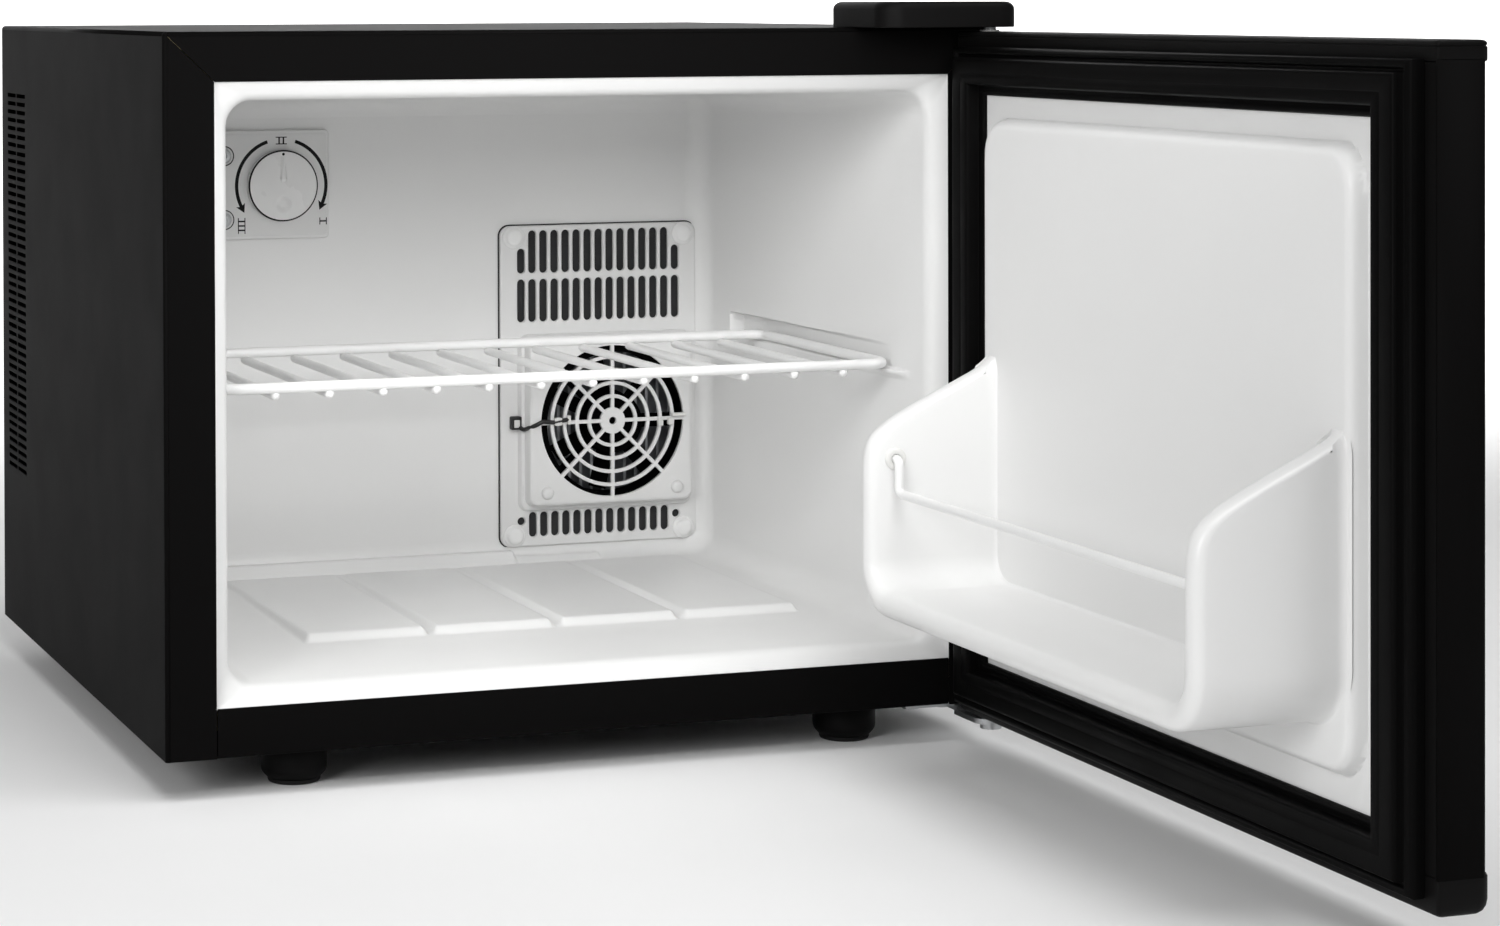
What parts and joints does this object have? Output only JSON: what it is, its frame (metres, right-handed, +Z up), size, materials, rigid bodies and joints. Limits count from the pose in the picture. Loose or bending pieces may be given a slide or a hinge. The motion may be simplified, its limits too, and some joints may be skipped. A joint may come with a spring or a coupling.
{
  "type": "mini fridge",
  "caption": "Compact thermoelectric fridge: box on feet, side-hinged door with a moulded bin and wire bail, wire shelf, fan grille, dial and rear cooling unit.",
  "frame": {"origin": "on the floor, at the centre of the rectangle made by the feet", "axes": "+Z up, +Y from the front opening towards the back, +X towards the hinge side; the door stands open at 90 degrees along -Y"},
  "size_m": [0.401, 0.8075, 0.35],
  "materials": {
    "black_steel": "satin",
    "black_plastic": "fine grained",
    "fan_plastic": "moulded",
    "grey_plastic": "moulded",
    "white_plastic": "satin",
    "dial_plastic": "satin",
    "nylon": "moulded",
    "black_rubber": "matte",
    "gasket_black": "satin",
    "black_cable": "satin",
    "bare_steel": "zinc plated",
    "white_wire": "coated, glossy",
    "bare_aluminium": "extruded",
    "module_ceramic": "matte",
    "foam": "rigid foam",
    "dark_foam": "closed-cell foam",
    "board_green": "solder mask",
    "transformer_yellow": "tape",
    "capacitor_blue": "sleeved"
  },
  "bodies": {
    "cabinet": {"outer_wrap": "black_steel", "bottom_rail": "black_steel", "base_pan": "black_steel", "rear_cover": "black_plastic", "rear_lower_panel": "black_plastic", "rear_cover_screws": "bare_steel", "cabinet_foam": "foam", "partition_sheet": "grey_plastic", "inner_liner": "white_plastic", "feet": "black_plastic", "foot_pads": "black_rubber", "foot_screws": "bare_steel", "fan_cover": "white_plastic", "fan_cover_screws": "bare_steel", "screw_caps": "white_plastic", "cold_fan_frame": "fan_plastic", "cold_heatsink": "bare_aluminium", "cold_block": "bare_aluminium", "peltier_module": "module_ceramic", "insulation_frame": "dark_foam", "hot_heatsink": "bare_aluminium", "clamp_screws": "bare_steel", "hot_fan_frame": "fan_plastic", "hot_fan_screws": "bare_steel", "power_board": "board_green", "board_standoffs": "nylon", "transformer": "transformer_yellow", "capacitors": "capacitor_blue", "board_heatsink": "bare_aluminium", "mains_inlet": "black_plastic", "inlet_pins": "bare_steel", "inlet_screws": "bare_steel", "thermostat_plate": "white_plastic", "potentiometer": "grey_plastic", "plate_screws": "bare_steel", "sensor_wire": "black_cable", "sensor_clips": "nylon", "top_hinge_bracket": "bare_steel", "top_hinge_cover": "black_plastic", "hinge_screws": "bare_steel", "lower_hinge_bracket": "bare_steel"},
    "door": {"door_panel": "black_steel", "door_top_cap": "black_plastic", "door_bottom_cap": "black_plastic", "door_frame": "black_plastic", "door_foam": "foam", "door_liner": "white_plastic", "door_gasket": "gasket_black", "hinge_bushes": "nylon", "bail_grommets": "nylon"},
    "bail": {"bottle_bail": "white_wire"},
    "shelf": {"wire_shelf": "white_wire"},
    "dial": {"thermostat_dial": "dial_plastic", "dial_shaft": "bare_steel"},
    "cold_fan": {"cold_fan_rotor": "fan_plastic"},
    "hot_fan": {"hot_fan_rotor": "fan_plastic"}
  },
  "joints": [
    {"name": "door_hinge", "type": "hinge", "parent": "cabinet", "child": "door", "pos_m": [0.188, -0.2195, 0.178], "axis": [0, 0, 1], "range_deg": [-90, 25]},
    {"name": "bail_swing", "type": "hinge", "parent": "door", "child": "bail", "pos_m": [0.118, -0.4075, 0.1453], "axis": [0, 1, 0], "range_deg": [-90, 90]},
    {"name": "shelf_slide", "type": "slide", "parent": "cabinet", "child": "shelf", "axis": [0, -1, 0], "range_m": [-0.035, 0.088]},
    {"name": "thermostat_turn", "type": "hinge", "parent": "cabinet", "child": "dial", "pos_m": [-0.0776, 0.066, 0.2553], "axis": [0, 1, 0], "range_deg": [-120, 120]},
    {"name": "cold_fan_spin", "type": "hinge", "parent": "cabinet", "child": "cold_fan", "pos_m": [0.1035, 0.065, 0.125], "axis": [0, 1, 0], "continuous": true},
    {"name": "hot_fan_spin", "type": "hinge", "parent": "cabinet", "child": "hot_fan", "pos_m": [0.0975, 0.17, 0.1455], "axis": [0, 1, 0], "continuous": true}
  ]
}
